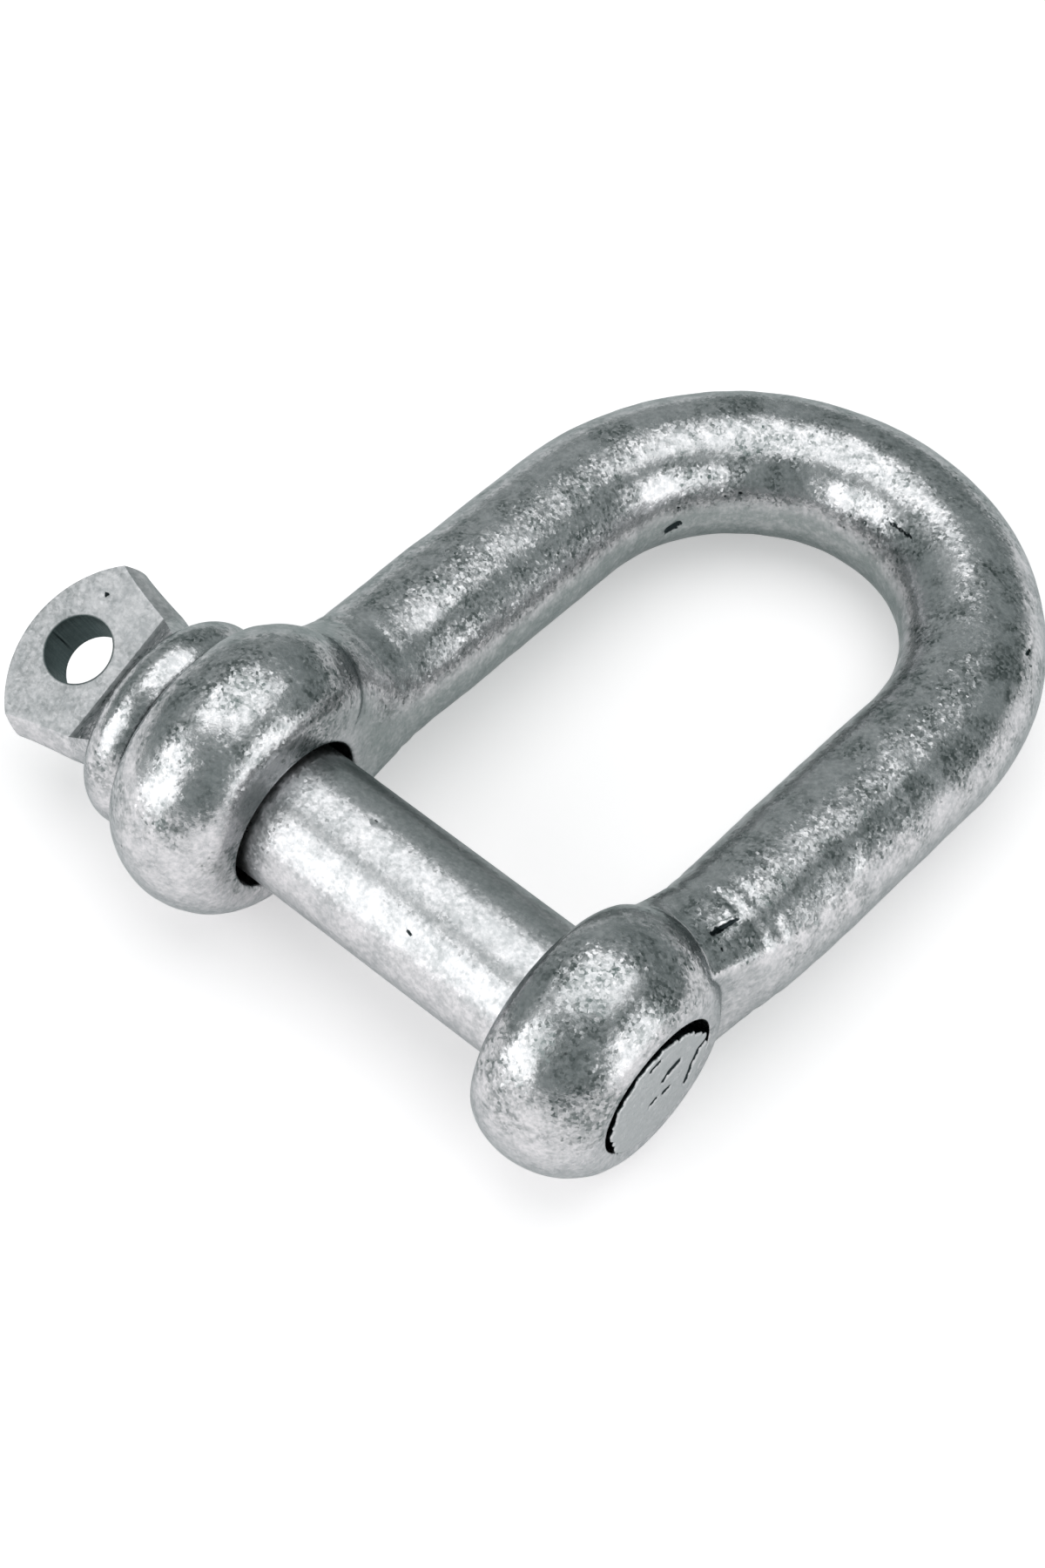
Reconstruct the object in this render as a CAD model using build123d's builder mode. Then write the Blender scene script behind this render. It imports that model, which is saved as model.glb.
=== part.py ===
from math import asin, atan2, cos, pi, radians, sin, sqrt
import os

from build123d import *

# D-shackle with a screw pin, forged and hot-dip galvanised, lying as it comes to rest.
# Millimetres. X runs along the pin, from its eyed head to its threaded tip.
# Y runs from the pin to the bow, and Z is up.
# The origin is on the pin's axis, halfway between the two eyes.

# Bar and bow
bar_diameter = 12.4
leg_spacing = 37.8
inside_length = 48.5
bow_rise = 20.7

# Eyes, each a barrel along the pin. The threaded one sits a little low about the pin's axis.
# The plain one, where the pin goes in, is the fatter, and both rest on the same ground.
jaw_width = 26.0
eye_length = 10.8
plain_eye_diameter = 24.9
plain_crest_from_jaw = 5.6
plain_jaw_face_drop = 2.9
seat_face_drop = 2.5
threaded_eye_diameter = 22.2
threaded_crest_from_jaw = 4.3
threaded_jaw_face_drop = 1.8
threaded_eye_sag = 0.3
tip_face_ring = 1.62
face_rounding = 0.8

# Neck, where a leg grows out of its eye
neck_relief = 0.1
neck_length = 5.65
plain_neck_width = 10.6
threaded_neck_width = 10.0
root_rounding = 3.0
root_step = 0.3
neck_slices = 9

# Screw pin
pin_diameter = 12.0
pin_clearance = 0.7
thread_clearance = 0.08
bore_rounding = 0.5
mouth_chamfer = 0.3
tip_mouth_chamfer = 0.15
tip_proud = 0.2
tip_chamfer = 0.3
collar_diameter = 18.7
collar_length = 4.9
collar_seat_drop = 1.3

# Eyed head of the pin
head_turn = 22.7
head_length = 12.3
head_thickness = 5.0
head_neck_width = 12.1
head_end_width = 15.3
head_end_rise = 3.4
head_side_bulge = 1.2
head_end_bulge = 0.3
shoulder_length = 3.1
shoulder_height = 11.2
shoulder_depth = 0.8
wire_hole_diameter = 5.8
wire_hole_from_collar = 7.35
wire_hole_chamfer = 0.25

bar_radius = bar_diameter / 2
pin_radius = pin_diameter / 2
bore_radius = pin_radius + pin_clearance
thread_radius = pin_radius + thread_clearance
plain_eye_radius = plain_eye_diameter / 2
threaded_eye_radius = threaded_eye_diameter / 2
plain_jaw_radius = plain_eye_radius - plain_jaw_face_drop
seat_face_radius = plain_eye_radius - seat_face_drop
threaded_jaw_radius = threaded_eye_radius - threaded_jaw_face_drop
tip_face_radius = thread_radius + tip_face_ring
axis_height = threaded_eye_radius + threaded_eye_sag
leg_middle = leg_spacing / 2
jaw_half = jaw_width / 2
eye_end = jaw_half + eye_length
eye_middle = jaw_half + eye_length / 2
bow_top = pin_radius + inside_length + bar_radius
bow_start = bow_top - bow_rise
neck_start = seat_face_radius - neck_relief
neck_end = neck_start + neck_length

# The eyes are fatter than the bar, so the shackle leans towards its bow
# until eyes and bow touch the same flat surface.
lean = asin((axis_height - bar_radius) / bow_top)
flat = Plane(origin=(0, 0, 0), x_dir=(1, 0, 0), z_dir=(0, sin(lean), cos(lean)))
pin_line = Axis((0, 0, 0), (1, 0, 0))


def crest_arc(crest, eye_radius, face_at, face_radius):
    """Three points of the arc that leaves an eye's crest level and ends on a face's rim."""
    reach = abs(face_at - crest)
    way = (face_at - crest) / reach
    drop = eye_radius - face_radius
    bend = (reach ** 2 + drop ** 2) / (2 * drop)
    half = atan2(reach, bend - drop) / 2
    middle = (crest + way * bend * sin(half), eye_radius - bend * (1 - cos(half)))
    return [(crest, eye_radius), middle, (face_at, face_radius)]


def eye_half(side, eye_radius, crest_from_jaw, jaw_radius, end_radius):
    """Half section of an eye's barrel, from its axis outwards."""
    crest = side * (jaw_half + crest_from_jaw)
    inner = crest_arc(crest, eye_radius, side * jaw_half, jaw_radius)
    outer = crest_arc(crest, eye_radius, side * eye_end, end_radius)
    with BuildSketch(Plane.XY.offset(eye_radius - axis_height)) as half_section:
        with BuildLine():
            ThreePointArc(*inner)
            ThreePointArc(*outer)
            Polyline(outer[2], (side * eye_end, 0), (side * jaw_half, 0), inner[2])
        make_face()
    return half_section.sketch


def rim_of(builder, x, radius):
    """The round edge of this radius that stands across the pin's axis at x."""
    rounds = builder.edges().filter_by(GeomType.CIRCLE)
    rounds = rounds.filter_by(lambda edge: abs(edge.center(CenterOf.BOUNDING_BOX).X - x) < 0.001)
    return rounds.filter_by(lambda edge: abs(edge.radius - radius) < 0.001)


def across_leg(x, y):
    """Plane square across a leg, at a place given in the flat plane."""
    return Plane(origin=flat.from_local_coords((x, y, 0)), x_dir=(1, 0, 0), z_dir=flat.y_dir)


def neck_of(side, eye_radius, neck_width):
    """Slices of a neck, from inside its eye to the round bar of the straight leg.

    A hollow rounding from just under the eye's crest to the bar gives the neck its height.
    """
    root_reach = eye_radius - root_step + root_rounding
    rounding_centre = sqrt(root_reach ** 2 - (bar_radius + root_rounding) ** 2)
    rounding_start = rounding_centre * (1 - root_rounding / root_reach)
    half_width = neck_width / 2
    middle = jaw_half + neck_relief + half_width
    step = (neck_end - pin_radius) / neck_slices
    slices = []
    for y in [pin_radius + step * i for i in range(neck_slices + 1)]:
        ease = (1 - cos(pi * min(max((y - neck_start) / neck_length, 0), 1))) / 2
        to_centre = min(max(rounding_centre - y, 0), rounding_centre - rounding_start)
        half_height = bar_radius + root_rounding - sqrt(root_rounding ** 2 - to_centre ** 2)
        with BuildSketch(across_leg(side * (middle + (leg_middle - middle) * ease), y)) as across:
            Ellipse(half_width + (bar_radius - half_width) * ease, half_height)
        slices.append(across.sketch)
    return slices


plain_neck = neck_of(-1, plain_eye_radius, plain_neck_width)
threaded_neck = neck_of(1, threaded_eye_radius, threaded_neck_width)
plain_half = eye_half(-1, plain_eye_radius, plain_crest_from_jaw, plain_jaw_radius, seat_face_radius)
threaded_half = eye_half(1, threaded_eye_radius, threaded_crest_from_jaw, threaded_jaw_radius,
                         tip_face_radius)

with BuildPart() as shackle_body:
    with BuildLine(flat):
        Line((leg_middle, neck_end), (leg_middle, bow_start))
        EllipticalCenterArc((0, bow_start), leg_middle, bow_rise, 0, arc_size=180)
        Line((-leg_middle, bow_start), (-leg_middle, neck_end))
    with BuildSketch(across_leg(leg_middle, neck_end)):
        Circle(bar_radius)
    sweep()

    loft(plain_neck)
    loft(threaded_neck)
    revolve(plain_half, axis=Axis((0, 0, plain_eye_radius - axis_height), (1, 0, 0)))
    revolve(threaded_half, axis=Axis((0, 0, threaded_eye_radius - axis_height), (1, 0, 0)))

    # The pin passes one eye with room to spare and screws into the other.
    with BuildSketch(Plane.YZ.offset(-eye_middle)):
        Circle(bore_radius)
    extrude(amount=eye_length, both=True, mode=Mode.SUBTRACT)
    with BuildSketch(Plane.YZ.offset(eye_middle)):
        Circle(thread_radius)
    extrude(amount=eye_length, both=True, mode=Mode.SUBTRACT)

    fillet(rim_of(shackle_body, -eye_end, seat_face_radius), face_rounding)
    fillet(rim_of(shackle_body, -jaw_half, plain_jaw_radius), face_rounding)
    fillet(rim_of(shackle_body, jaw_half, threaded_jaw_radius), face_rounding)
    fillet(rim_of(shackle_body, eye_end, tip_face_radius), face_rounding)
    fillet(rim_of(shackle_body, -jaw_half, bore_radius), bore_rounding)
    chamfer(rim_of(shackle_body, -eye_end, bore_radius), mouth_chamfer)
    chamfer(rim_of(shackle_body, jaw_half, thread_radius), mouth_chamfer)
    chamfer(rim_of(shackle_body, eye_end, thread_radius), tip_mouth_chamfer)
shackle_body.part.label = "shackle_body"

# Places along the pin, from its seat on the eye back to the end of its head
seat = -eye_end
collar_back = seat - collar_length
face_edge = collar_back - shoulder_length
head_tip = collar_back - head_length
pin_tip = eye_end + tip_proud
head_corner = head_tip + head_end_rise
head_flare = (head_end_width - head_neck_width) / 2 / (face_edge - head_corner)
head_level = Plane(origin=(0, 0, 0), x_dir=(1, 0, 0),
                   z_dir=(0, -sin(radians(head_turn)), cos(radians(head_turn))))


def head_section(x, height, bulge):
    """Slice across the head: flat above and below, with sides that bulge."""
    half_width = head_neck_width / 2 + head_flare * (face_edge - x)
    half_height = height / 2
    with BuildSketch(Plane(origin=(x, 0, 0), x_dir=head_level.y_dir, z_dir=(1, 0, 0))) as section:
        with BuildLine():
            ThreePointArc((half_width, -half_height), (half_width + bulge, 0),
                          (half_width, half_height))
            Line((half_width, half_height), (-half_width, half_height))
            ThreePointArc((-half_width, half_height), (-half_width - bulge, 0),
                          (-half_width, -half_height))
            Line((-half_width, -half_height), (half_width, -half_height))
        make_face()
    return section.sketch


tip_section = head_section(head_tip, head_thickness, head_end_bulge)
edge_section = head_section(face_edge, head_thickness, head_side_bulge)
shoulder_section = head_section(collar_back + shoulder_depth, shoulder_height, head_side_bulge)
end_radius = (head_end_rise ** 2 + (head_end_width / 2) ** 2) / (2 * head_end_rise)

with BuildPart() as pin_head:
    loft([tip_section, edge_section], ruled=True)
    with BuildSketch(head_level):
        with Locations((head_tip + end_radius, 0)):
            Circle(end_radius)
    extrude(amount=head_thickness, both=True, mode=Mode.INTERSECT)
    with BuildSketch(head_level):
        with Locations((collar_back - wire_hole_from_collar, 0)):
            Circle(wire_hole_diameter / 2)
    extrude(amount=head_thickness, both=True, mode=Mode.SUBTRACT)
    chamfer(pin_head.edges().filter_by(lambda edge: edge.is_closed), wire_hole_chamfer)
    loft([edge_section, shoulder_section], ruled=True)

with BuildPart() as screw_pin:
    with BuildSketch(Plane.XY):
        with BuildLine():
            crest = (seat - collar_length / 2, collar_diameter / 2)
            back_foot = (collar_back, (collar_diameter - collar_length) / 2)
            seat_foot = (seat, collar_diameter / 2 - collar_seat_drop)
            TangentArc(crest, back_foot, tangent=(-1, 0))
            TangentArc(crest, seat_foot, tangent=(1, 0))
            Polyline(seat_foot, (seat, pin_radius), (pin_tip - tip_chamfer, pin_radius),
                     (pin_tip, pin_radius - tip_chamfer), (pin_tip, 0), (collar_back, 0), back_foot)
        make_face()
    revolve(axis=pin_line)
    add(pin_head.part)
screw_pin.part.label = "screw_pin"

os.makedirs("parts", exist_ok=True)
export_step(shackle_body.part, "parts/shackle_body.step")
export_step(screw_pin.part, "parts/screw_pin.step")
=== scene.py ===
import math

import bpy
import bmesh
import numpy as np
from mathutils import Matrix, Vector


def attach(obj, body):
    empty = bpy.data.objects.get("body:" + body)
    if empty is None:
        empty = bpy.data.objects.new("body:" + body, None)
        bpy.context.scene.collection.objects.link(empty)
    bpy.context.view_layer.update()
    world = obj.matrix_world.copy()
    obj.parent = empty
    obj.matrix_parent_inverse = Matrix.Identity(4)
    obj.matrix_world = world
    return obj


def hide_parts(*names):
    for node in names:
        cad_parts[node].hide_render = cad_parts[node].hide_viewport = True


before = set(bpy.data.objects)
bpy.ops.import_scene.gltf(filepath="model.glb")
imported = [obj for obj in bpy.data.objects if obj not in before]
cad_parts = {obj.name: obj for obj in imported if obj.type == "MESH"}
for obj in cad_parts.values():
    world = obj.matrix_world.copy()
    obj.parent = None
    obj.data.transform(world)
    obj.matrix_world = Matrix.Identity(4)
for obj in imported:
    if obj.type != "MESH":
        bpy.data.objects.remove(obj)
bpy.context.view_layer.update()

mm = 0.001
weldWithin, sliverBelow = 0.002 * mm, 0.0001 * mm
print("frame loaded:", sorted(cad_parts))


# Small helpers
def smoothStep(t):
    # 3t^2 - 2t^3, held at 0 and 1 outside the unit interval
    t = np.clip(t, 0, 1)
    return t * t * (3 - 2 * t)


def blendTo(a, b, t):
    # straight from a to b: a + (b - a) t
    return a + (b - a) * t


def bezier(p0, p1, p2, p3, count):
    # cubic Bezier: (1-t)^3 p0 + 3t(1-t)^2 p1 + 3t^2(1-t) p2 + t^3 p3, ends left out
    t = np.linspace(0, 1, count + 2)[1:-1, None]
    return ((1 - t) ** 3 * p0 + 3 * t * (1 - t) ** 2 * p1
            + 3 * t ** 2 * (1 - t) * p2 + t ** 3 * p3)


def waves(points, wavelength, count, seed):
    # sum of plane waves in random directions, each sin(k.p + phase), scaled to about -1..1;
    # their lengths are spread from 0.7 to 1.5 times the wavelength
    rng = np.random.default_rng(seed)
    way = rng.normal(size=(count, 3))
    way /= np.linalg.norm(way, axis=1)[:, None]
    k = way * (2 * np.pi / (wavelength * rng.uniform(0.7, 1.5, (count, 1))))
    phase = rng.uniform(0, 2 * np.pi, count)
    return np.sin(points @ k.T + phase).sum(1) / math.sqrt(count / 2) / 2


def gridFaces(rows, columns, closed):
    # quads between neighbouring rows of a rows x columns grid, columns joined up when closed
    i, j = np.meshgrid(np.arange(rows - 1), np.arange(columns if closed else columns - 1), indexing="ij")
    k = (j + 1) % columns
    quads = np.stack([i * columns + j, i * columns + k, (i + 1) * columns + k, (i + 1) * columns + j], -1)
    return quads.reshape(-1, 4)


def meshPiece(name, parts):
    # joins grids given as (points, quads) in millimetres, welds them and points the faces outwards
    points = np.concatenate([p for p, q in parts])
    starts = np.cumsum([0] + [len(p) for p, q in parts[:-1]])
    quads = np.concatenate([q + s for (p, q), s in zip(parts, starts)])
    mesh = bpy.data.meshes.new(name)
    mesh.from_pydata((points * mm).tolist(), [], quads.tolist())
    soup = bmesh.new()
    soup.from_mesh(mesh)
    bmesh.ops.remove_doubles(soup, verts=soup.verts, dist=weldWithin)
    bmesh.ops.dissolve_degenerate(soup, dist=sliverBelow, edges=soup.edges)
    bmesh.ops.recalc_face_normals(soup, faces=soup.faces)
    if soup.calc_volume(signed=True) < 0:
        bmesh.ops.reverse_faces(soup, faces=soup.faces)
    openEdges = sum(1 for e in soup.edges if len(e.link_faces) != 2)
    soup.to_mesh(mesh)
    soup.free()
    mesh.shade_smooth()
    piece = bpy.data.objects.new(name, mesh)
    bpy.context.scene.collection.objects.link(piece)
    print(f"{name}: {len(mesh.vertices)} points, {len(mesh.polygons)} faces, {openEdges} open edges")
    return piece


# Shackle body, in millimetres
shackle = {
    "barRadius": 6.2, "legMiddle": 18.9, "bowStart": 40.0, "bowRise": 20.7,
    "jawHalf": 13.0, "eyeLength": 10.8, "axisHeight": 11.4,
    # -1 is the plain eye by the pin's head, 1 the threaded one
    "eyeRadius": {-1: 12.45, 1: 11.1}, "crestFromJaw": {-1: 5.6, 1: 4.3},
    "jawFaceRadius": {-1: 9.55, 1: 9.3}, "endFaceRadius": {-1: 9.95, 1: 7.7},
    "boreRadius": {-1: 6.7, 1: 6.08}, "jawMouth": {-1: 0.5, 1: 0.3}, "endMouth": {-1: 0.3, 1: 0.15},
    # the rim's rounding starts below the face's full radius; rimPull is its Bezier handles' share
    "rimRounding": 0.9, "rimDrop": 0.8, "rimPull": 0.5,
    # the hole in each eye that its neck grows out of: the plain eye's reaches to the end face, the
    # threaded one's to neckFrom on the barrel's flank; cornerBlend counts the points that round it
    "openingRadius": 7.5, "openingHalfAngle": 40.0, "neckFrom": {-1: None, 1: 22.6}, "cornerBlend": 3,
    # how hard the neck's curves leave the eye and meet the leg, how far a point has turned round
    # the leg where the neck ends, and the length over which the rest of the leg's turning is spread
    "neckEnd": 15.5, "neckPull": 3.0, "legPull": 7.0, "neckTurn": 0.35, "legTurnLength": 15.0,
    "evenings": 80, "eveningShare": 0.5, "eveningRows": 28, "eveningFade": 14,
    # steps of the grids
    "turnSteps": 180, "openingSteps": 40, "rimSteps": 7, "innerSteps": 14, "outerSteps": {-1: 26, 1: 35},
    "flankSteps": 8, "mouthSteps": 6, "boreSteps": 24, "faceSteps": 5, "faceStep": 0.4,
    "neckRings": 26, "legRings": 50, "bowRings": 130,
    # forging waves and ripples: wavelength, how many and seed; the rings that the die left round
    # each neck lie at a distance from the pin's axis, with a width and a share of ringDepth
    "waves": (9, 24, 3), "waveHeight": 0.05, "ripples": (2.6, 40, 5), "rippleHeight": 0.018,
    "rings": ((12.9, 0.35, 1.0), (14.6, 0.45, 0.7)), "ringDepth": 0.1,
    "ringWander": (8, 10, 11), "ringWanderBy": 0.5,
    # what stays as smooth as in the solids: the bores' mouths, and the seat under the collar
    "mouthEnd": 7.3, "mouthFade": 1.2, "seatFrom": -23.0, "seatRadius": 9.6,
}
# start, end, radius and depth of each fault in the forging; a depth below nothing stands up
bodyDents = [
    # a fold on the near neck
    ((20.0, 10.6, 5.1), (20.15, 11.6, 4.95), 0.52, 0.3),
    ((20.15, 11.6, 4.95), (20.45, 12.9, 4.75), 0.36, 0.2),
    ((21.2, 10.1, 4.7), (21.9, 9.6, 4.4), 0.25, 0.1),
    # a cold shut where the far leg meets the bow, with pits beside it
    ((-12.0, 45.2, -4.5), (-11.6, 45.9, -4.2), 0.95, 0.25),
    ((-11.9, 46.1, -2.3), (-11.9, 46.1, -2.3), 0.3, 0.12),
    ((-9.7, 49.9, -2.4), (-9.65, 49.95, -2.4), 0.34, 0.12),
    ((-9.0, 50.9, -2.3), (-9.0, 50.9, -2.3), 0.34, 0.12),
    # a crack inside the bow, and a nick on its outside
    ((3.0, 55.85, -0.8), (5.6, 55.4, -0.3), 0.26, 0.14),
    ((20.3, 52.1, 0.0), (20.4, 51.4, 0.2), 0.4, 0.2),
    # a pit and a nick on the far eye, and a raised seam on the near one
    ((-18.7, -2.2, 13.2), (-18.6, -2.2, 13.2), 0.36, 0.15),
    ((-20.2, -12.2, 1.9), (-20.2, -12.2, 2.0), 0.3, 0.12),
    ((15.8, -4.2, 9.6), (15.4, -2.4, 10.1), 0.35, -0.09),
]
# the eyes are fatter than the bar, so the shackle leans until eyes and bow touch the ground
lean = math.asin((shackle["axisHeight"] - shackle["barRadius"])
                 / (shackle["bowStart"] + shackle["bowRise"]))
flatY = np.array([0, math.cos(lean), -math.sin(lean)])
flatZ = np.array([0, math.sin(lean), math.cos(lean)])


def fromFlat(x, y, z):
    # a point given in the shackle's own leaning plane, put in the shared frame
    return x[..., None] * np.array([1.0, 0, 0]) + y[..., None] * flatY + z[..., None] * flatZ


def crestArc(u, side, faceAt, faceRadius):
    # arc of the eye's outline: level at the crest, down to faceRadius at faceAt
    top, crest = shackle["eyeRadius"][side], shackle["jawHalf"] + shackle["crestFromJaw"][side]
    reach, drop = faceAt - crest, top - faceRadius
    bend = (reach ** 2 + drop ** 2) / (2 * drop)
    return top - bend + np.sqrt(bend ** 2 - (u - crest) ** 2)


def roundedRim(side, faceAt, inwards, faceRadius):
    # Bezier from the flat face to the crest's arc, level with both where it meets them
    rounding = shackle["rimRounding"]
    meetAt = faceAt + inwards * rounding
    meetRadius = crestArc(meetAt, side, faceAt, faceRadius)
    nearby = 0.01
    slope = (crestArc(meetAt + inwards * nearby, side, faceAt, faceRadius) - meetRadius) / nearby
    start = np.array([faceAt, faceRadius - rounding * shackle["rimDrop"]])
    end = np.array([meetAt, meetRadius])
    pull = np.array([inwards, slope]) / math.hypot(1, slope)
    handle = rounding * shackle["rimPull"]
    return start, end, bezier(start, start + [0, handle], end - pull * handle, end, shackle["rimSteps"])


def eyeOutline(side):
    # (u, r, off) points round an eye's half section; u runs outwards along the pin's axis, and
    # off says how much of the barrel's offset from that axis holds there
    s = shackle
    jaw, end = s["jawHalf"], s["jawHalf"] + s["eyeLength"]
    crest = jaw + s["crestFromJaw"][side]
    opening, jawRadius, endRadius = s["openingRadius"], s["jawFaceRadius"][side], s["endFaceRadius"][side]
    jawStart, jawMeet, jawRim = roundedRim(side, jaw, 1, jawRadius)
    endStart, endMeet, endRim = roundedRim(side, end, -1, endRadius)
    # the neck leaves from the end face, or from the barrel's flank at neckFrom, and from there
    # on the rest of the barrel turns all the way round
    neckFrom = s["neckFrom"][side]
    inner = np.linspace(jawMeet[0], crest, s["innerSteps"])
    outer = np.linspace(crest, neckFrom or endMeet[0], s["outerSteps"][side])[1:]

    def arcPoints(u):
        # points on the outline between the crest and the end face
        return np.c_[u, crestArc(u, side, end, endRadius)]

    barrel = [[jawStart], jawRim, np.c_[inner, crestArc(inner, side, jaw, jawRadius)], arcPoints(outer)]
    rim = [endRim[::-1], [endStart]]
    crestPart = np.concatenate(barrel + ([] if neckFrom else rim))
    crestPart = np.concatenate([[[jaw, opening, 0]], np.c_[crestPart, np.ones(len(crestPart))]])
    borePart = []
    if neckFrom:
        flank = np.linspace(neckFrom, endMeet[0], s["flankSteps"])
        rest = np.concatenate([arcPoints(flank)] + rim)
        borePart = [np.c_[rest, np.ones(len(rest))]]
    else:
        crestPart = np.concatenate([crestPart, [[end, opening, 0]]])
    bore, jawMouth, endMouth = (s[k][side] for k in ("boreRadius", "jawMouth", "endMouth"))
    # from the end face in through the bore, whose mouths are quarter rounds, to the jaw face
    faceFrom = min(opening, endStart[1] - s["faceStep"])
    turn = np.linspace(0, np.pi / 2, s["mouthSteps"])
    face = np.linspace(faceFrom, bore + endMouth, s["faceSteps"])[:-1]
    wall = np.linspace(end - endMouth, jaw + jawMouth, s["boreSteps"])[1:-1]
    hole = np.concatenate([
        np.c_[np.full(len(face), end), face],
        np.c_[end - endMouth * (1 - np.cos(turn)), bore + endMouth * (1 - np.sin(turn))],
        np.c_[wall, np.full(len(wall), bore)],
        np.c_[jaw + jawMouth * (1 - np.sin(turn)), bore + jawMouth * (1 - np.cos(turn))],
        [[jaw, (opening + bore + jawMouth) / 2], [jaw, opening]]])
    return crestPart, np.concatenate(borePart + [np.c_[hole, np.zeros(len(hole))]])


def barrelPoint(side, u, r, off, angle):
    # flat-frame point: u along the pin, then r sin and r cos, lifted by the barrel's offset
    rise = off * (shackle["eyeRadius"][side] - shackle["axisHeight"])
    return u, r * np.sin(angle) - rise * math.sin(lean), r * np.cos(angle) + rise * math.cos(lean)


def turned(outline, angles, side):
    # the outline carried round the pin's axis
    u, r, off = (outline[:, i][:, None] for i in range(3))
    u, y, z = barrelPoint(side, u + 0 * angles, r, off, angles)
    return fromFlat(side * u, y, z)


def openingLoop(side):
    # the rim of the hole in an eye's grid where the neck grows out, with the way the neck leaves
    # there: outwards on the eye's two faces, round the barrel between them, blended at the corners
    crestPart = eyeOutline(side)[0]
    half = math.radians(shackle["openingHalfAngle"])
    steps = shackle["openingSteps"]
    across = np.linspace(math.pi / 2 - half, math.pi / 2 + half, steps + 1)
    u, r, off = np.concatenate([np.tile(crestPart[-1], (steps, 1)), crestPart[::-1][:-1],
                                np.tile(crestPart[0], (steps, 1)), crestPart[:-1]]).T
    angle = np.concatenate([across[::-1][:-1], np.full(len(crestPart) - 1, across[0]),
                            across[:-1], np.full(len(crestPart) - 1, across[-1])])
    point = np.stack(barrelPoint(side, u, r, off, angle), -1)
    outwards = np.stack([0 * angle, np.sin(angle), np.cos(angle)], -1)
    inwards = np.sign(np.pi / 2 - angle)
    around = np.stack([0 * angle, np.cos(angle), -np.sin(angle)], -1) * inwards[:, None]
    onFace = np.zeros(len(u))
    onFace[:steps] = 1
    onFace[steps + len(crestPart) - 1:2 * steps + len(crestPart) - 1] = 1
    blend = shackle["cornerBlend"]
    wide = np.array([np.roll(onFace, step) for step in range(-blend, blend + 1)]).mean(0)
    way = outwards * wide[:, None] + around * (1 - wide)[:, None]
    return point, way / np.linalg.norm(way, axis=1)[:, None]


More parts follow.
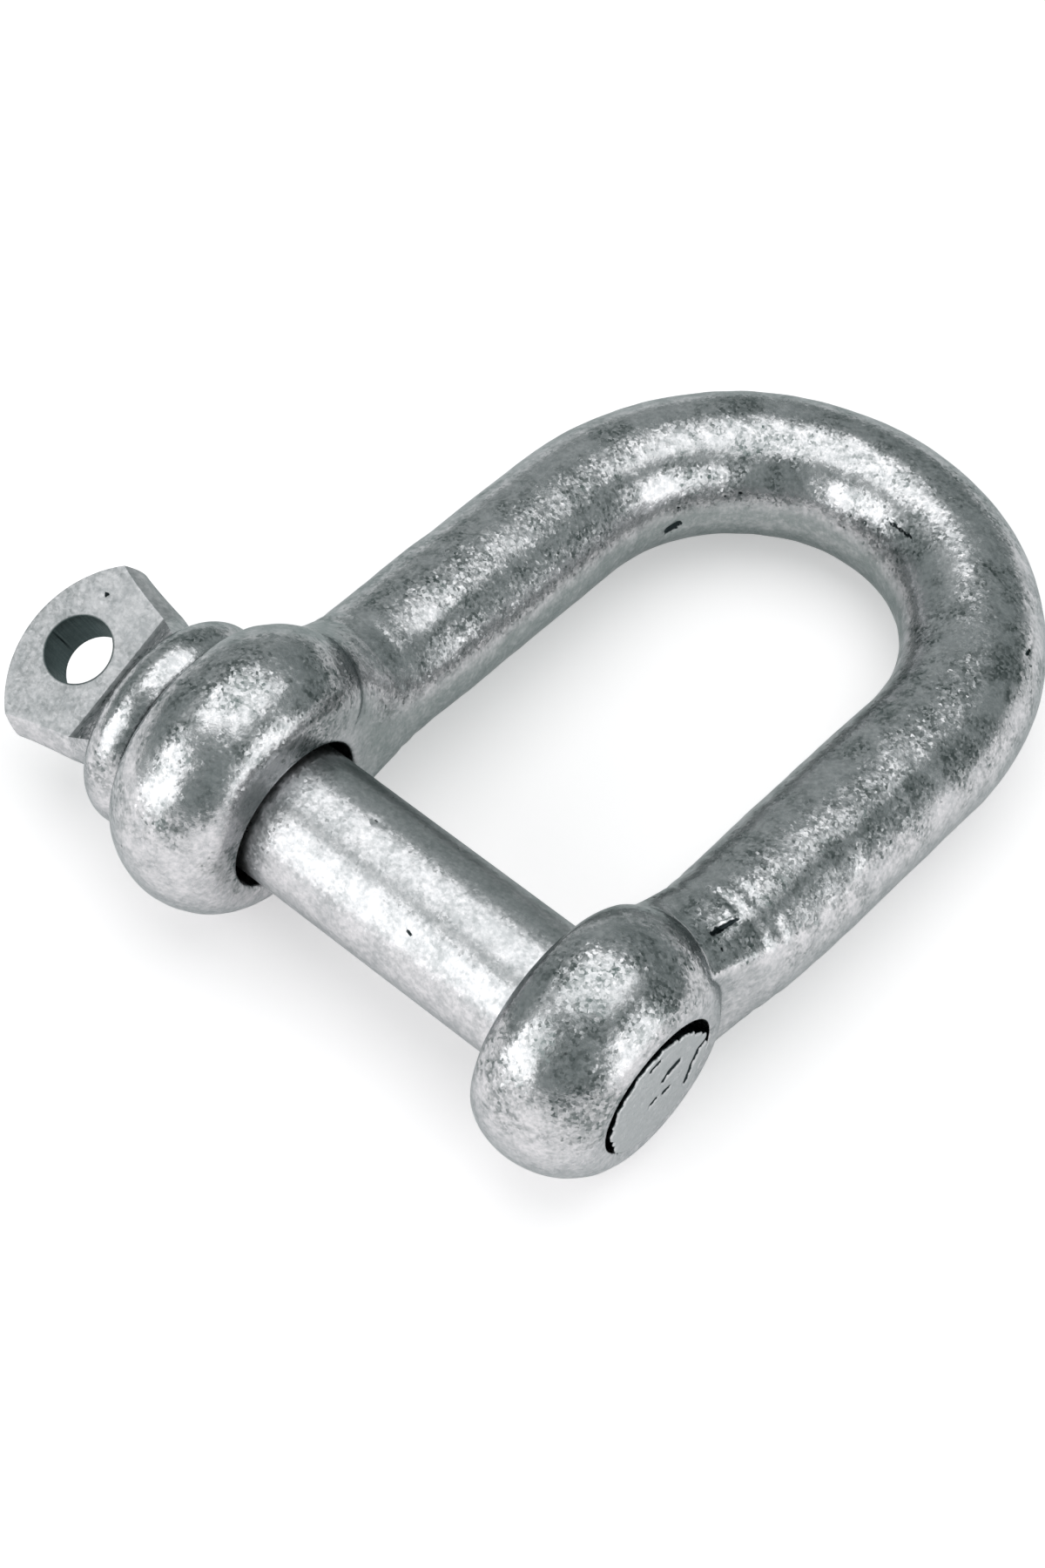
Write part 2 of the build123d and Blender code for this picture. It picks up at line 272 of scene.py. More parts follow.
def bodyParts():
    # two eyes, open where the necks grow out, and one tube of rings from eye to eye round the bow
    s = shackle
    parts = []
    half = math.radians(s["openingHalfAngle"])
    whole = np.linspace(0, 2 * np.pi, s["turnSteps"] + 1)[:-1] + math.pi / 2 + half
    far = np.linspace(math.pi / 2 + half, 2.5 * math.pi - half,
                      s["turnSteps"] - s["openingSteps"] + 1)
    for side in (-1, 1):
        crestPart, borePart = eyeOutline(side)
        grid = turned(borePart, whole, side)
        parts.append((grid.reshape(-1, 3), gridFaces(len(borePart), len(whole), True)))
        grid = turned(crestPart, far, side)
        parts.append((grid.reshape(-1, 3), gridFaces(len(crestPart), len(far), False)))

    # the neck: each point of the opening runs on a Hermite curve to the round leg, with weights
    # 2t^3-3t^2+1 for where it starts, t^3-2t^2+t for its way there, 3t^2-2t^3 and t^3-t^2 for the end
    point, way = {}, {}
    for side in (-1, 1):
        point[side], way[side] = openingLoop(side)
    count = len(point[1])
    even = {}
    for side in (-1, 1):
        p = point[side]
        even[side] = np.unwrap(np.arctan2(p[:, 2], p[:, 0] - (p[:, 0].min() + p[:, 0].max()) / 2))
    ringTurn = even[1][0] + np.sign(even[1][-1] - even[1][0]) * 2 * np.pi * np.arange(count) / count

    def legRing(turn):
        # across and up on the round leg: middle + radius cos(turn), radius sin(turn)
        return s["legMiddle"] + s["barRadius"] * np.cos(turn), s["barRadius"] * np.sin(turn)

    rings = []
    t = np.linspace(0, 1, s["neckRings"])[:, None]
    for side in (-1, 1):
        p0, d0 = point[side], way[side] * s["neckPull"]
        u1, z1 = legRing(blendTo(even[side], ringTurn, s["neckTurn"]))
        p1 = np.stack([u1, np.full(count, s["neckEnd"]), z1], -1)
        d1 = np.array([0, s["legPull"], 0])
        h = [2 * t ** 3 - 3 * t ** 2 + 1, t ** 3 - 2 * t ** 2 + t, 3 * t ** 2 - 2 * t ** 3, t ** 3 - t ** 2]
        neck = sum(a[:, :, None] * b for a, b in zip(h, (p0, d0, p1, d1)))
        legY = np.linspace(s["neckEnd"], s["bowStart"], s["legRings"])[1:, None]
        mix = blendTo(s["neckTurn"], 1, smoothStep((legY - s["neckEnd"]) / s["legTurnLength"]))
        u, z = legRing(blendTo(even[side], ringTurn, mix))
        leg = np.stack([u, legY + 0 * u, z], -1)
        rings.append(np.concatenate([neck, leg]) * [side, 1, 1])
    # the bow: the same round bar carried along half an ellipse, square to it
    bend = np.linspace(np.pi, 0, s["bowRings"])[1:-1, None]
    outX, outY = s["bowRise"] * np.cos(bend), s["legMiddle"] * np.sin(bend)
    size = np.hypot(outX, outY)
    outX, outY = outX / size, outY / size
    off, z = s["barRadius"] * np.cos(ringTurn), s["barRadius"] * np.sin(ringTurn)
    bow = np.stack([s["legMiddle"] * np.cos(bend) + off * outX,
                    s["bowStart"] + s["bowRise"] * np.sin(bend) + off * outY,
                    z + 0 * bend], -1)
    tube = np.concatenate([rings[0], bow, rings[1][::-1]])
    # the necks are evened out: each point moves towards the mean of its four neighbours
    fromEye = np.minimum(np.arange(len(tube)), np.arange(len(tube))[::-1])
    share = s["eveningShare"] * smoothStep(fromEye / 2)
    share *= 1 - smoothStep((fromEye - s["eveningRows"]) / s["eveningFade"])
    for _ in range(s["evenings"]):
        middle = sum(np.roll(tube, step, axis) for axis in (0, 1) for step in (1, -1)) / 4
        tube = blendTo(tube, middle, share[:, None, None])
    tube = fromFlat(tube[..., 0], tube[..., 1], tube[..., 2])
    parts.append((tube.reshape(-1, 3), gridFaces(len(tube), count, True)))
    return parts


def capsule(points, start, end):
    # distance from each point to the line between start and end
    start, end = np.array(start), np.array(end)
    along = np.clip((points - start) @ (end - start) / max((end - start) @ (end - start), 1e-9), 0, 1)
    return np.linalg.norm(points - start - along[:, None] * (end - start), axis=1)


def meshArrays(mesh):
    # a mesh's points in mm and their normals, one row each
    co, no = np.zeros(len(mesh.vertices) * 3), np.zeros(len(mesh.vertices) * 3)
    mesh.vertices.foreach_get("co", co)
    mesh.vertices.foreach_get("normal", no)
    return co.reshape(-1, 3) / mm, no.reshape(-1, 3)


def dented(piece, dents):
    # sinks each dent along the normals by depth * (1 - smooth step of distance / radius), and keeps
    # that share as an attribute for the finish, which darkens the dents; a ridge has none, so it is not
    # darkened
    mesh = piece.data
    points, normals = meshArrays(mesh)
    mask = np.zeros(len(points))
    sunk = np.zeros(len(points))
    for start, end, radius, depth in dents:
        near = 1 - smoothStep(capsule(points, start, end) / radius)
        sunk += near * depth
        mask = np.maximum(mask, near * (depth > 0))
    points -= normals * sunk[:, None]
    mesh.vertices.foreach_set("co", (points * mm).reshape(-1))
    mesh.attributes.new("dent", "FLOAT", "POINT").data.foreach_set("value", mask.astype(np.float32))
    mesh.update()


def roughened(piece):
    # moves each point along its normal by long waves and short ripples, as the forging left it,
    # and sinks rings round the necks: depth * share * exp(-((distance - at) / width)^2)
    s = shackle
    mesh = piece.data
    points, normals = meshArrays(mesh)
    fromAxis = np.hypot(points[:, 1], points[:, 2])
    mouths = 1 - smoothStep((fromAxis - s["mouthEnd"]) / s["mouthFade"])
    seat = (points[:, 0] < s["seatFrom"]) & (fromAxis < s["seatRadius"])
    free = 1 - np.maximum(mouths, seat)
    height = (waves(points, *s["waves"]) - 1) * s["waveHeight"]
    height += (waves(points, *s["ripples"]) - 1) * s["rippleHeight"]
    wander = points @ flatY + s["ringWanderBy"] * waves(points, *s["ringWander"])
    for at, width, share in s["rings"]:
        height -= s["ringDepth"] * share * np.exp(-((wander - at) / width) ** 2)
    points += normals * (height * free)[:, None]
    mesh.vertices.foreach_set("co", (points * mm).reshape(-1))
    mesh.update()


body = meshPiece("forged_body", bodyParts())
roughened(body)
dented(body, bodyDents)
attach(body, "shackle_body")
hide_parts("shackle_body")
print("body made")


# Screw pin, in millimetres
pin = {
    "radius": 6.0, "seat": -23.8, "collarLength": 4.9, "collarRadius": 9.35, "seatDrop": 1.3,
    "tip": 24.0, "tipRounding": 0.2,
    # the thread's flanks are a triangle wave, made steeper and then cut flat at crest and root;
    # it closes again a little before the tip
    "pitch": 1.75, "threadDepth": 0.85, "threadFrom": 12.4, "flankSteepness": 1.25, "crestFlat": 0.2,
    "threadCloses": 1.4, "threadClosing": 1.0,
    "headTurn": 22.7, "headLength": 12.3, "thickness": 5.0,
    "neckWidth": 12.1, "endWidth": 15.3, "endRise": 3.4, "sideBulge": 1.2, "endBulge": 0.3,
    "shoulderLength": 3.1, "shoulderHeight": 11.2, "shoulderDepth": 0.8,
    "edgeRounding": 0.35, "edgeSegments": 3, "edgeAngle": 28.0,
    "holeRadius": 2.9, "holeFromCollar": 7.35, "driftHalf": 6.0,
    # the gap round the sheared end: its width by angle in degrees, sines of height, number and
    # phase that tear its edge where it is wider than gapTearFrom, and how far back it reaches
    "gapAngles": [-60, -40, -20, 5, 22, 40, 60, 80, 100, 130, 170, 200, 222],
    "gapWidths": [0.0, 0.2, 0.3, 0.35, 0.85, 1.0, 0.95, 0.8, 0.5, 0.4, 0.42, 0.4, 0.0],
    "gapTears": ((0.09, 11, 1), (0.08, 23, 0), (0.06, 37, 2)), "gapTearFrom": 0.2,
    "gapReach": 1.9, "gapRamp": 0.6,
    # steps of the grids
    "turnSteps": 240, "backSteps": 12, "beadSteps": 16, "frontSteps": 14, "seatSteps": 5,
    "shankSteps": 60, "threadSteps": 84, "edgeSteps": 5, "tipSteps": 46,
    "flatSteps": 61, "sideSteps": 15, "headRows": 55, "shoulderRows": 9, "endRows": 5, "holeSteps": 96,
}
# start, end, radius and depth of each dent
pinDents = [
    # a lap and streaks in the sheared end
    ((24, 5.7, 0.5), (24, 4.6, 0.1), 0.5, 0.15),
    ((24, 4.6, 0.1), (24, 3.9, -1.2), 0.5, 0.15),
    ((24, 3.9, -1.2), (24, 3.2, -3.1), 0.45, 0.12),
    ((24, 1.9, 1.3), (24, 1.0, 1.15), 0.75, 0.15),
    ((24, 1.0, 1.15), (24, 0.3, 0.8), 0.5, 0.12),
    ((24, 1.1, -1.3), (24, 0.5, -1.2), 0.45, 0.12),
    ((24, -0.5, -1.0), (24, -1.0, -1.15), 0.45, 0.12),
    ((24, -0.5, 4.4), (24, -1.4, 4.3), 0.45, 0.12),
    # a pit on the head and three on the shank
    ((-37.3, 3.6, 4.2), (-37.2, 3.6, 4.2), 0.35, 0.12),
    ((-5.2, 0.8, 5.95), (-5.2, 0.8, 6.0), 0.4, 0.15),
    ((2.6, -4.3, 4.2), (2.7, -4.3, 4.2), 0.3, 0.1),
    ((-0.7, -3.5, 4.9), (-0.6, -3.5, 4.9), 0.25, 0.1),
]
collarBack = pin["seat"] - pin["collarLength"]
faceEdge = collarBack - pin["shoulderLength"]
holeCentre = collarBack - pin["holeFromCollar"]


def threadDepthAt(x, turn):
    # a groove that winds once per pitch: a triangle wave with its crest cut flat
    along = (x / pin["pitch"] - turn / (2 * np.pi)) % 1
    groove = np.clip((1 - np.abs(2 * along - 1)) * pin["flankSteepness"] - pin["crestFlat"], 0, 1)
    return pin["threadDepth"] * groove * smoothStep((x - pin["threadFrom"]) / pin["pitch"])


def tipGap(turn):
    # how far the shank's end falls short of the threaded eye, by angle, where the thread starts
    first = pin["gapAngles"][0]
    degrees = (np.degrees(turn) - first) % 360 + first
    wide = np.interp(degrees, pin["gapAngles"], pin["gapWidths"])
    ragged = sum(height * np.sin(count * turn + phase) for height, count, phase in pin["gapTears"])
    return np.maximum(wide + ragged * smoothStep(wide / pin["gapTearFrom"]), 0)


def shaftParts():
    # an outline (x, radius) turned round the pin's axis: back disc, collar bead, seat, shank and
    # thread, then the rounded edge of the end and rings into its middle
    p = pin
    half = p["collarLength"] / 2
    crest = p["seat"] - half
    # the bead is a quarter round behind its crest and a flatter arc down to the seat
    turn = np.linspace(0, np.pi / 2, p["beadSteps"])
    backArc = np.c_[crest - half * np.cos(turn), p["collarRadius"] - half + half * np.sin(turn)]
    frontX = np.linspace(crest, p["seat"], p["frontSteps"])[1:]
    bend = (half ** 2 + p["seatDrop"] ** 2) / (2 * p["seatDrop"])
    frontArc = np.c_[frontX, p["collarRadius"] - bend + np.sqrt(bend ** 2 - (frontX - crest) ** 2)]
    backR = np.linspace(0, p["collarRadius"] - half, p["backSteps"] + 1)[:-1]
    seatR = np.linspace(frontArc[-1, 1], p["radius"], p["seatSteps"] + 1)[1:]
    shankX = np.linspace(p["seat"], p["threadFrom"], p["shankSteps"])[1:]
    threadX = np.linspace(p["threadFrom"], p["tip"] - p["tipRounding"], p["threadSteps"])[1:]
    shankX = np.concatenate([shankX, threadX])
    outline = np.concatenate([np.c_[np.full(len(backR), collarBack), backR], backArc, frontArc,
                              np.c_[np.full(len(seatR), p["seat"]), seatR],
                              np.c_[shankX, np.full(len(shankX), p["radius"])]])
    angles = np.linspace(0, 2 * np.pi, p["turnSteps"] + 1)[:-1]
    x, r = outline[:, 0][:, None] + 0 * angles, outline[:, 1][:, None] + 0 * angles
    closing = smoothStep((x - p["tip"] + p["threadCloses"]) / p["threadClosing"])
    groove = threadDepthAt(x, angles) * (1 - closing)
    gap = tipGap(angles) * smoothStep((x - p["tip"] + p["gapReach"]) / p["gapRamp"])
    r = r - np.maximum(groove, gap) * (x > p["threadFrom"])
    last = r[-1]
    turn = np.linspace(0, np.pi / 2, p["edgeSteps"])[1:, None]
    edgeX = p["tip"] - p["tipRounding"] * (1 - np.sin(turn)) + 0 * angles
    edgeR = last - p["tipRounding"] * (1 - np.cos(turn))
    share = np.linspace(1, 0, p["tipSteps"])[1:, None]
    x = np.concatenate([x, edgeX, p["tip"] + 0 * share + 0 * angles])
    r = np.concatenate([r, edgeR, (last - p["tipRounding"]) * share])
    grid = np.stack([x, r * np.cos(angles), r * np.sin(angles)], -1)
    return [(grid.reshape(-1, 3), gridFaces(len(x), len(angles), True))]


def headTurned(x, across, up):
    # a point of the level head, turned about the pin's axis
    turn = math.radians(pin["headTurn"])
    return np.stack([x, across * math.cos(turn) - up * math.sin(turn),
                     across * math.sin(turn) + up * math.cos(turn)], -1)


def headParts():
    # the flat head: sections x -> (across, up) whose tops are flat and whose sides bulge by
    # bulge * (1 - (up/halfHeight)^2); the first lies on the round end, the last inside the collar
    p = pin
    tip = collarBack - p["headLength"]
    corner = tip + p["endRise"]
    flare = (p["endWidth"] - p["neckWidth"]) / 2 / (faceEdge - corner)
    endRadius = (p["endRise"] ** 2 + (p["endWidth"] / 2) ** 2) / (2 * p["endRise"])
    flat = np.linspace(-1, 1, p["flatSteps"])[:-1]
    side = np.linspace(1, -1, p["sideSteps"])[:-1]

    def loop(x, height):
        # half the width grows evenly from the neck to the head's corner
        halfWidth = p["neckWidth"] / 2 + flare * (faceEdge - x)
        share = min((x - tip) / (faceEdge - tip), 1)
        bulge = halfWidth + blendTo(p["endBulge"], p["sideBulge"], share) * (1 - side ** 2)
        across = np.concatenate([flat * halfWidth, bulge, -flat * halfWidth, -bulge])
        up = np.concatenate([flat * 0 + 1, side, flat * 0 - 1, -side]) * height / 2
        return across, up

    def roundEnd(across):
        # the arc of the head's outer end: tip + R - sqrt(R^2 - across^2)
        return tip + endRadius - np.sqrt(endRadius ** 2 - across ** 2)

    rows = []
    across, up = loop(corner, p["thickness"])
    for share in np.linspace(0, 1, p["endRows"])[:-1]:
        rows.append(headTurned(roundEnd(across), across, up * share))
    for share in np.linspace(0, 1, p["headRows"]):
        across, up = loop(blendTo(corner, faceEdge, share), p["thickness"])
        rows.append(headTurned(blendTo(roundEnd(across), faceEdge, share), across, up))
    last = collarBack + p["shoulderDepth"]
    for share in np.linspace(0, 1, p["shoulderRows"])[1:]:
        x = blendTo(faceEdge, last, share)
        across, up = loop(x, blendTo(p["thickness"], p["shoulderHeight"], share))
        rows.append(headTurned(x + 0 * across, across, up))
    for share in np.linspace(1, 0, p["endRows"])[1:]:
        rows.append(headTurned(last + 0 * across, across, up * share))
    grid = np.array(rows)
    return [(grid.reshape(-1, 3), gridFaces(len(rows), grid.shape[1], True))]


def wireHoleParts():
    # a straight round drift along the head's own up direction
    angles = np.linspace(0, 2 * np.pi, pin["holeSteps"] + 1)[:-1]
    radius = pin["holeRadius"] * np.array([0, 1, 1, 0])[:, None]
    up = pin["driftHalf"] * np.array([-1, -1, 1, 1])[:, None] + 0 * angles
    grid = headTurned(holeCentre + radius * np.cos(angles), radius * np.sin(angles), up)
    return [(grid.reshape(-1, 3), gridFaces(len(radius), len(angles), True))]


def settle(piece):
    # the piece's modifiers become its mesh
    done = bpy.data.meshes.new_from_object(piece.evaluated_get(bpy.context.evaluated_depsgraph_get()))
    piece.modifiers.clear()
    piece.data = done


def cutOrJoin(piece, other, operation):
    # the other shape is taken from the piece or joined to it, and is then gone
    change = piece.modifiers.new(operation, "BOOLEAN")
    change.operation = operation
    change.solver = "EXACT"
    change.object = other
    settle(piece)
    bpy.data.objects.remove(other)


screwPin = meshPiece("screw_pin_forging", headParts())
cutOrJoin(screwPin, meshPiece("wire_hole", wireHoleParts()), "DIFFERENCE")
edges = screwPin.modifiers.new("edges", "BEVEL")
edges.width = pin["edgeRounding"] * mm
edges.segments = pin["edgeSegments"]
edges.limit_method = "ANGLE"
edges.angle_limit = math.radians(pin["edgeAngle"])
settle(screwPin)
cutOrJoin(screwPin, meshPiece("shaft", shaftParts()), "UNION")
screwPin.data.shade_smooth()
dented(screwPin, pinDents)
evenShade = screwPin.modifiers.new("evenShade", "WEIGHTED_NORMAL")
evenShade.keep_sharp = True
settle(screwPin)
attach(screwPin, "screw_pin")
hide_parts("screw_pin")
print("pin made:", len(screwPin.data.polygons), "faces")


# Finish of the metal
def linearColour(code):
    # sRGB hex to linear: x/12.92 below 0.04045, else ((x+0.055)/1.055)^2.4
    values = [int(code[i:i + 2], 16) / 255 for i in (1, 3, 5)]
    return [v / 12.92 if v <= 0.04045 else ((v + 0.055) / 1.055) ** 2.4 for v in values] + [1.0]


def addNode(tree, kind, inputs=(), output=0, **settings):
    # one node with its settings; its inputs, in socket order or by socket, are plain values or
    # other nodes' outputs, and one of its own outputs comes back
    node = tree.nodes.new("ShaderNode" + kind)
    for key, value in settings.items():
        setattr(node, key, value)
    for key, value in inputs.items() if isinstance(inputs, dict) else enumerate(inputs):
        if isinstance(value, bpy.types.NodeSocket):
            tree.links.new(value, node.inputs[key])
        else:
            node.inputs[key].default_value = value
    return node.outputs[output]


# Hot-dip galvanised zinc on forged steel: bright satin metal with an orange-peel skin, so that
# reflections end in ragged edges. In patches the zinc has set as small crystals, each tilted its
# own way, which glitter in the dark reflections. Black pin holes are where flux was left.
bodyLook = {
    # side is a painted shade colour, for the sides of legs and bow and for what faces far back
    "pale": "#d8d6d8", "middle": "#b6b7b9", "dark": "#5a6362", "side": "#878e8d",
    # hole is black for pin holes and dents, and also paints shade where collar and eye meet and in the gap
    # round the pin's end
    "hole": "#22282a", "edge": "#c0c6c6",
    # size in mm, detail and roughness of each noise
    "noises": {"patch": (5.5, 4, 0.6), "stain": (1.6, 5, 0.65), "mottle": (0.42, 3, 0.6),
               "peel": (0.9, 4, 0.6), "grain": (0.17, 2, 0.55)},
    "crystalSize": 0.26, "crystalWarp": 0.3,
    "crystalTilt": 0.1, "calmTilt": 0.07, "peelHeight": 0.025, "grainHeight": 0.006,
    "holeSpacing": 3.4, "holeRadius": 0.18, "holeCore": 0.3, "holeShare": (0.16, 0.15),
    # each range says where a mask begins and is full, and its two values there if not 0 and 1;
    # what is measured is a noise or a crystal's own tone, the share of a direction, or mm
    "patchRange": (0.38, 0.54), "patchFacing": (-0.05, 0.4), "blotchRange": (0.4, 0.6),
    # these shape the dark layer, which is partly painted dark reflection
    "darkCrystals": (0.0, 0.8, 1.0, 0.1), "darkStains": (0.4, 0.58, 0.25, 1.0),
    "glints": (0.72, 0.9, 1.0, 2.1), "roughness": (0.3, 0.7, 0.2, 0.3), "rougher": (), "calmer": (),
    "dentFray": (0.3, 0.7, -0.25, 0.25), "dentRange": (0.4, 0.6),
    # painted shade where collar and eye meet
    "jointShadeReach": (0.36, 0.15), "jointShadeInner": (6.6, 7.2), "jointShadeOuter": (10.3, 9.9),
    # where the sides, and what faces far back, are painted in shade
    "sideShadeFacing": (0.42, 0.12), "sideShadeFrom": (3.0, 9.0), "sideShadeBlotches": (0.35, 0.6, 0.65, 1.0),
    "outerWay": (1, -0.3, 0), "outerFacing": (0.2, 0.6), "outerFrom": (12, 18),
    "outerKept": (0.0, 1.0, 1.0, 0.3), "backShadeWay": (-0.57, 0.82, 0), "backShadeFacing": (0.2, 0.7),
    # centre and radius in mm of each painted dark reflection, an area painted dark where the metal should
    # mirror something dark; distances are in radii
    "darkReflectionFray": (0.3, 0.7, -0.9, 0.9), "darkReflectionRange": (1.3, 0.6), "darkReflectionCrystals": (0.0, 1.0, 0.95, 0.25),
    "darkReflectionSpots": (
        # the top of the bow, and down the near leg
        (-13.6, 56.9, 1.1, 2.0), (20.4, 48.8, 1.2, 2.4), (23.4, 38.4, 0.9, 2.2), (22.3, 33.5, 2.2, 1.3),
        (21.8, 28.1, 3.0, 1.2), (21.3, 23.2, 3.6, 1.2), (20.9, 18.6, 4.2, 1.3), (21.7, 12.3, 4.3, 1.4),
        # the far eye and its neck
        (-13.1, 3.7, 8.6, 3.6), (-18.3, -0.3, 13.4, 1.4), (-13.2, -5.8, 1.5, 3.3),
        (-13.2, 10.5, 2.0, 1.8), (-24.5, 2.5, 9.0, 1.6), (-19.5, 9.5, 6.5, 2.2),
        # the near eye
        (16.5, -2.2, 10.4, 1.7), (22.1, 1.6, 8.9, 2.1), (19.4, -3.2, 9.9, 1.5),
        (18.5, -6.9, 8.2, 1.4), (24.0, 3.8, -0.4, 2.0), (23.4, -6.9, 3.7, 2.6),
    ),
}
# The pin: its collar is like the body, the shank was drawn smooth before dipping, and the head
# was dipped and left, so it is matt and only finely grained.
pinLook = dict(
    # the first colour here paints the sheared end face darker, a painted dark reflection; the second is
    # painted shade on the wire hole's wall
    bodyLook, tipFaceShade="#bcbebf", holeWallShade="#4a5555", darkReflectionSpots=(),
    # along the pin: past the face's edge for the head, past the seat for the shank
    calmer=((faceEdge + 0.7, faceEdge + 0.1, 1.0, 0.35),
            (pin["seat"] - 0.1, pin["seat"] + 0.1, 1.0, 0.3)),
    rougher=((faceEdge + 0.7, faceEdge + 0.1, 0.0, 0.22),
             (pin["seat"] - 0.1, pin["seat"] + 0.1, 0.0, 0.06)),
    # where the sheared end face is painted darker
    tipFaceShadeRange=(pin["tip"] - 0.15, pin["tip"] - 0.05, 0.0, 0.75),
    # painted shade in the gap round the sheared end
    gapShadeDepth=(pin["radius"] - 0.06, pin["radius"] - 0.12), gapShadeFrom=(pin["tip"] - 1.6, pin["tip"] - 1.1),
    gapShadeTo=(pin["tip"] - 0.1, pin["tip"] - 0.15),
    # painted shade on the wire hole's wall
    holeWallShadeRange=(pin["holeRadius"] + 0.2, pin["holeRadius"] + 0.05),
)


def surfaceFields(tree, look):
    # what the masks are made of: the spot in mm, the surface's own direction, the distance from the
    # pin's axis, the noises, and a colour for each crystal
    place = addNode(tree, "TexCoord", output="Object")
    spot = addNode(tree, "Mapping", {"Vector": place, "Scale": (1 / mm, 1 / mm, 1 / mm)})
    normal = addNode(tree, "NewGeometry", output="Normal")
    across = addNode(tree, "VectorMath", (spot, (0, 1, 1)), operation="MULTIPLY")
    fields = {
        "spot": spot, "normal": normal,
        "x": addNode(tree, "SeparateXYZ", (spot,), "X"),
        "y": addNode(tree, "SeparateXYZ", (spot,), "Y"),
        "facing": addNode(tree, "SeparateXYZ", (normal,), "Z"),
        "fromAxis": addNode(tree, "VectorMath", (across,), "Value", operation="LENGTH"),
    }
    for name, (size, detail, roughness) in look["noises"].items():
        fields[name] = addNode(tree, "TexNoise", {"Vector": spot, "Scale": 1 / size, "Detail": detail,
                                                  "Roughness": roughness})
    # crystals are the cells round scattered points, with borders that a noise has pushed about
    density, warp = 1 / look["crystalSize"], look["crystalWarp"]
    push = addNode(tree, "TexNoise", {"Vector": spot, "Scale": density}, "Color")
    pushed = addNode(tree, "VectorMath", (push, (warp, warp, warp), spot), operation="MULTIPLY_ADD")
    fields["crystal"] = addNode(tree, "TexVoronoi", {"Vector": pushed, "Scale": density}, "Color")
    # they grow on the sides that faced up; the zinc ran off the others and set smooth. Through the dark
    # layer the up-facing patches are also painted darker, a painted dark reflection
    patches = addNode(tree, "MapRange", (fields["patch"], *look["patchRange"]))
    share = addNode(tree, "MapRange", (fields["facing"], *look["patchFacing"]))
    patches = addNode(tree, "Math", (patches, share), operation="MULTIPLY")
    for ends in look["calmer"]:
        share = addNode(tree, "MapRange", (fields["x"], *ends))
        patches = addNode(tree, "Math", (patches, share), operation="MULTIPLY")
    fields["patches"] = patches
    return fields


# pin holes, darkened dents, and painted shade where collar and eye meet
def dirtAndShadeMask(tree, look, fields):
    # black pin holes, round spots in a few cells only
    holes = addNode(tree, "TexVoronoi", {"Vector": fields["spot"], "Scale": 1 / look["holeSpacing"]})
    radius = look["holeRadius"] / look["holeSpacing"]
    dirtAndShade = addNode(tree, "MapRange", (holes, radius, radius * look["holeCore"]))
    tone = addNode(tree, "SeparateColor", (holes.node.outputs["Color"],), "Green")
    few = addNode(tree, "MapRange", (tone, *look["holeShare"]))
    dirtAndShade = addNode(tree, "Math", (dirtAndShade, few), operation="MULTIPLY")
    # the dents darkened by their share, frayed by the mottle
    dent = addNode(tree, "Attribute", output="Fac", attribute_name="dent")
    fray = addNode(tree, "MapRange", (fields["mottle"], *look["dentFray"]))
    dent = addNode(tree, "Math", (dent, fray), operation="ADD")
    dent = addNode(tree, "MapRange", (dent, *look["dentRange"]))
    dirtAndShade = addNode(tree, "Math", (dirtAndShade, dent), operation="MAXIMUM")
    # painted shade where collar and eye meet
    jointShade = addNode(tree, "Math", (fields["x"], pin["seat"]), operation="SUBTRACT")
    jointShade = addNode(tree, "Math", (jointShade,), operation="ABSOLUTE")
    jointShade = addNode(tree, "MapRange", (jointShade, *look["jointShadeReach"]))
    for ends in (look["jointShadeInner"], look["jointShadeOuter"]):
        share = addNode(tree, "MapRange", (fields["fromAxis"], *ends))
        jointShade = addNode(tree, "Math", (jointShade, share), operation="MULTIPLY")
    return addNode(tree, "Math", (dirtAndShade, jointShade), operation="MAXIMUM")


